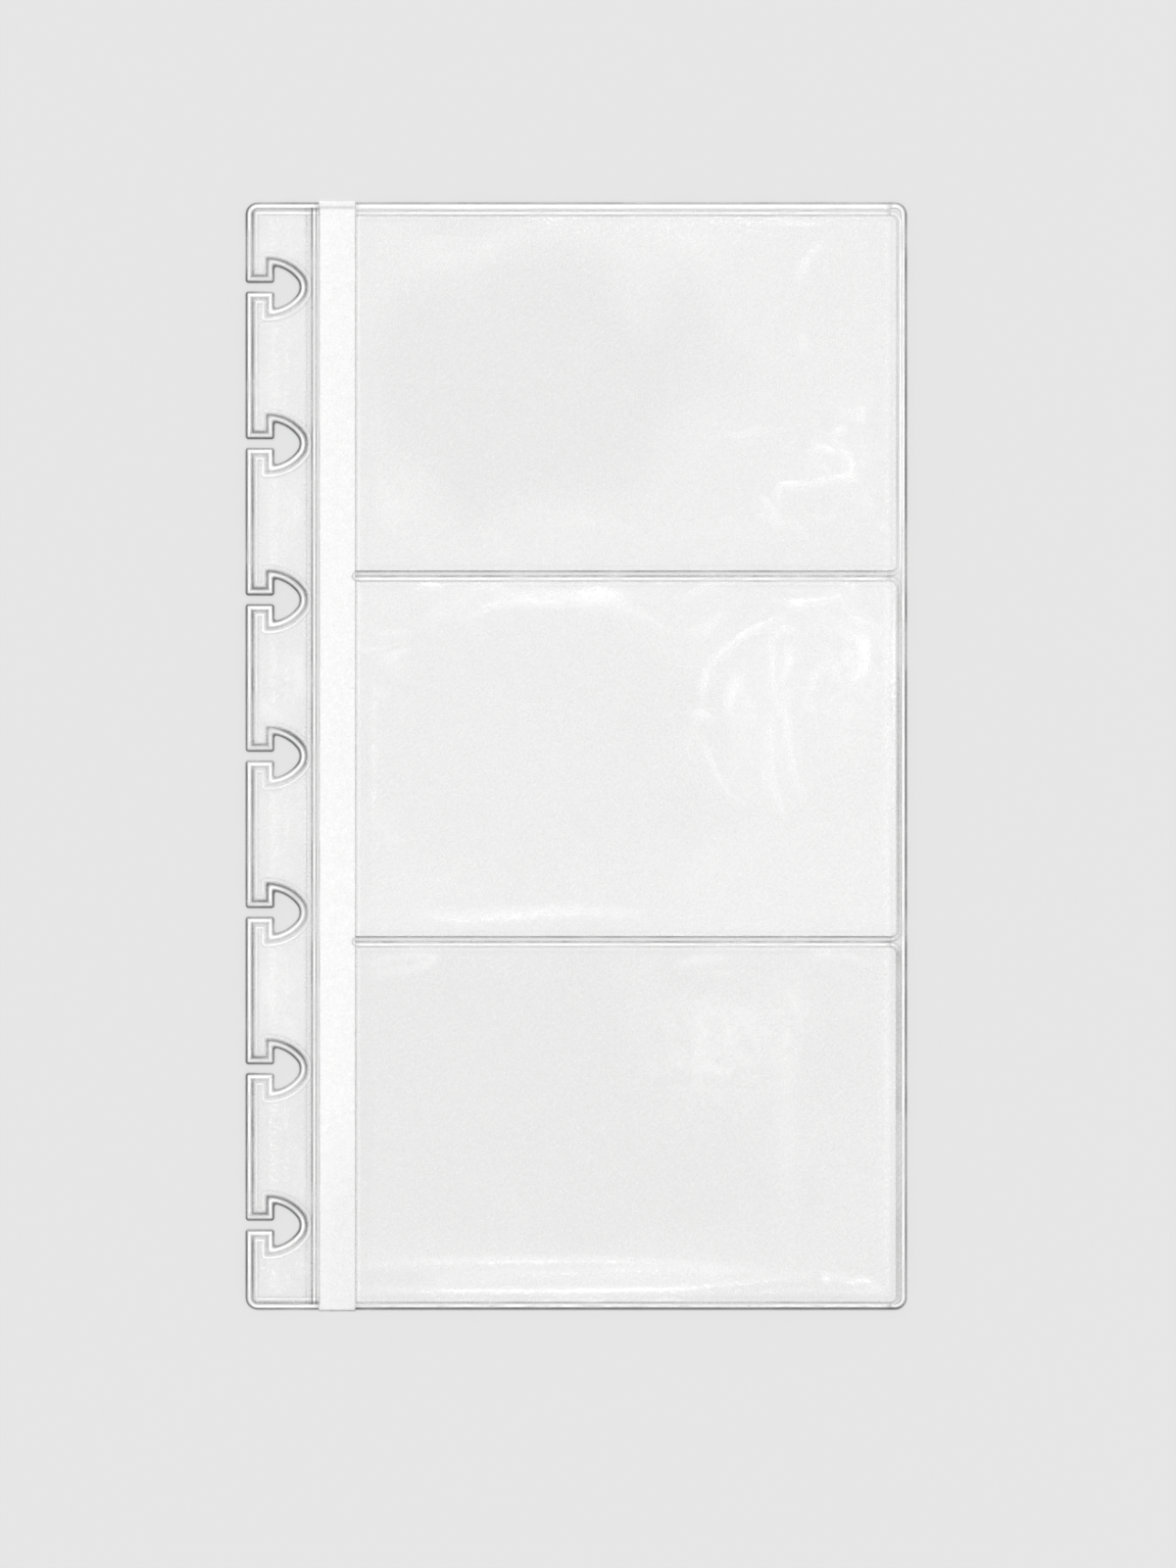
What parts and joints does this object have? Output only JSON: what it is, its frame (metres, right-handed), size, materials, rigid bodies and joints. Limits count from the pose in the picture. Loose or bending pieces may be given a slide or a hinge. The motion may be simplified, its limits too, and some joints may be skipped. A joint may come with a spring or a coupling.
{
  "type": "planner card holder page",
  "caption": "Clear vinyl planner page with side-loading card pockets, welded edges, a fold band and a notched strip that snaps over binding discs.",
  "frame": {"origin": "on the flat back, under the middle of the page", "axes": "+X from the binding edge to the outer edge, +Y up the page, +Z out of the page's front"},
  "size_m": [0.1076, 0.1806, 0.0007],
  "materials": {
    "clear_film": "clear soft vinyl film",
    "band_film": "milky soft vinyl film",
    "weld_bead": "glossy welded vinyl"
  },
  "bodies": {
    "binding_strip": {"binding_tabs": "clear_film", "binding_spine": "clear_film", "binding_front_film": "clear_film", "binding_edge_weld": "weld_bead", "binding_seam_weld": "weld_bead"},
    "pocket_leaf": {"fold_band": "band_film", "pocket_back_film": "clear_film", "top_edge_weld": "weld_bead", "outer_edge_weld": "weld_bead", "bottom_edge_weld": "weld_bead", "upper_divider_weld": "weld_bead", "lower_divider_weld": "weld_bead"},
    "upper_mouth": {"upper_pocket_front": "clear_film"},
    "middle_mouth": {"middle_pocket_front": "clear_film"},
    "lower_mouth": {"lower_pocket_front": "clear_film"}
  },
  "joints": [
    {"name": "page_fold", "type": "hinge", "parent": "binding_strip", "child": "pocket_leaf", "pos_m": [-0.04095, 0, 0.0001], "axis": [0, -1, 0], "range_deg": [0, 120]},
    {"name": "upper_mouth_lift", "type": "hinge", "parent": "pocket_leaf", "child": "upper_mouth", "pos_m": [0.0519, 0.05937, 0.0005], "axis": [0, 1, 0], "range_deg": [0, 4], "stiffness_Nm_per_rad": 0.004},
    {"name": "middle_mouth_lift", "type": "hinge", "parent": "pocket_leaf", "child": "middle_mouth", "pos_m": [0.0519, 0, 0.0005], "axis": [0, 1, 0], "range_deg": [0, 4], "stiffness_Nm_per_rad": 0.004},
    {"name": "lower_mouth_lift", "type": "hinge", "parent": "pocket_leaf", "child": "lower_mouth", "pos_m": [0.0519, -0.05937, 0.0005], "axis": [0, 1, 0], "range_deg": [0, 4], "stiffness_Nm_per_rad": 0.004}
  ]
}
